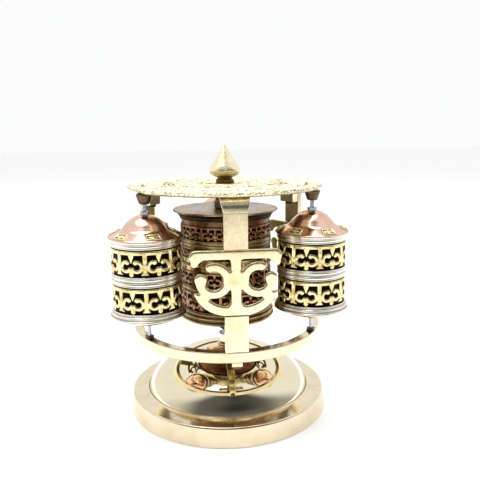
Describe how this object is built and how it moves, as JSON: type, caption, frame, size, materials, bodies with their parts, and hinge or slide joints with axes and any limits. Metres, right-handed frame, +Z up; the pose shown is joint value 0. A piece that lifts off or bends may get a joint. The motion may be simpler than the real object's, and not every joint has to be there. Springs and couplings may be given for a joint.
{
  "type": "prayer wheel",
  "caption": "Table prayer wheel: domed brass base, turning frame with round canopy and finial, small wheels on their own axles around a large central wheel.",
  "frame": {"origin": "on the spindle axis at the plane of the base's foot", "axes": "+Z up along the spindle, -Y towards the front post, +X to the right seen from the front"},
  "size_m": [0.1464, 0.1465, 0.1726],
  "materials": {
    "polished_brass": "polished, mirror bright on the dome",
    "cast_brass": "cast, brushed on the high points",
    "relief_brass": "bright relief, blackened in the ground",
    "antique_brass": "aged and darkened",
    "dark_bronze": "dark, rubbed",
    "copper": "polished copper",
    "aged_copper": "darkened copper, brushed",
    "white_metal": "white metal, darkened in the grooves",
    "blackened_metal": "blackened sheet",
    "steel": "turned",
    "black_steel": "blackened",
    "paper": "rolled, unbleached"
  },
  "bodies": {
    "base": {"base_rim": "polished_brass", "base_dome": "polished_brass", "pivot_bush": "polished_brass", "thrust_washer": "steel"},
    "carousel": {"spindle": "steel", "spindle_lock_nuts": "black_steel", "clamp_nut": "black_steel", "centre_rest_collar": "polished_brass", "centre_retaining_nut": "black_steel", "cross_bar": "polished_brass", "cross_bar_screws": "steel", "lower_ring": "polished_brass", "post_front": "polished_brass", "post_right": "polished_brass", "post_left": "polished_brass", "scroll_plate_front": "polished_brass", "scroll_plate_right": "polished_brass", "scroll_plate_left": "polished_brass", "post_brackets": "polished_brass", "bracket_screws": "black_steel", "top_disc": "cast_brass", "finial_washer": "dark_bronze", "finial": "polished_brass", "axle_bushes": "dark_bronze", "axle_rest_collars": "steel", "axle_foot_nuts": "black_steel", "axle_right": "steel", "axle_rear": "steel", "axle_left": "steel"},
    "centre_wheel": {"centre_barrel": "aged_copper", "centre_mouldings": "antique_brass", "centre_friezes": "aged_copper", "centre_lid": "aged_copper", "centre_base_cap": "aged_copper", "centre_tube": "copper", "centre_prayer_roll": "paper"},
    "right_wheel": {"right_barrel": "blackened_metal", "right_mouldings": "white_metal", "right_friezes": "relief_brass", "right_lid": "copper", "right_lid_plaques": "relief_brass", "right_base_cap": "copper", "right_tube": "copper", "right_prayer_roll": "paper"},
    "rear_wheel": {"rear_barrel": "blackened_metal", "rear_mouldings": "white_metal", "rear_friezes": "relief_brass", "rear_lid": "copper", "rear_lid_plaques": "relief_brass", "rear_base_cap": "copper", "rear_tube": "copper", "rear_prayer_roll": "paper"},
    "left_wheel": {"left_barrel": "blackened_metal", "left_mouldings": "white_metal", "left_friezes": "relief_brass", "left_lid": "copper", "left_lid_plaques": "relief_brass", "left_base_cap": "copper", "left_tube": "copper", "left_prayer_roll": "paper"}
  },
  "joints": [
    {"name": "carousel_spin", "type": "hinge", "parent": "base", "child": "carousel", "pos_m": [0, 0, 0.0476], "axis": [0, 0, 1], "continuous": true},
    {"name": "centre_wheel_spin", "type": "hinge", "parent": "carousel", "child": "centre_wheel", "pos_m": [0, 0, 0.0604], "axis": [0, 0, 1], "continuous": true},
    {"name": "right_wheel_spin", "type": "hinge", "parent": "carousel", "child": "right_wheel", "pos_m": [0.05032, -0.02905, 0.0665], "axis": [0, 0, 1], "continuous": true},
    {"name": "rear_wheel_spin", "type": "hinge", "parent": "carousel", "child": "rear_wheel", "pos_m": [0, 0.0581, 0.0665], "axis": [0, 0, 1], "continuous": true},
    {"name": "left_wheel_spin", "type": "hinge", "parent": "carousel", "child": "left_wheel", "pos_m": [-0.05032, -0.02905, 0.0665], "axis": [0, 0, 1], "continuous": true}
  ]
}
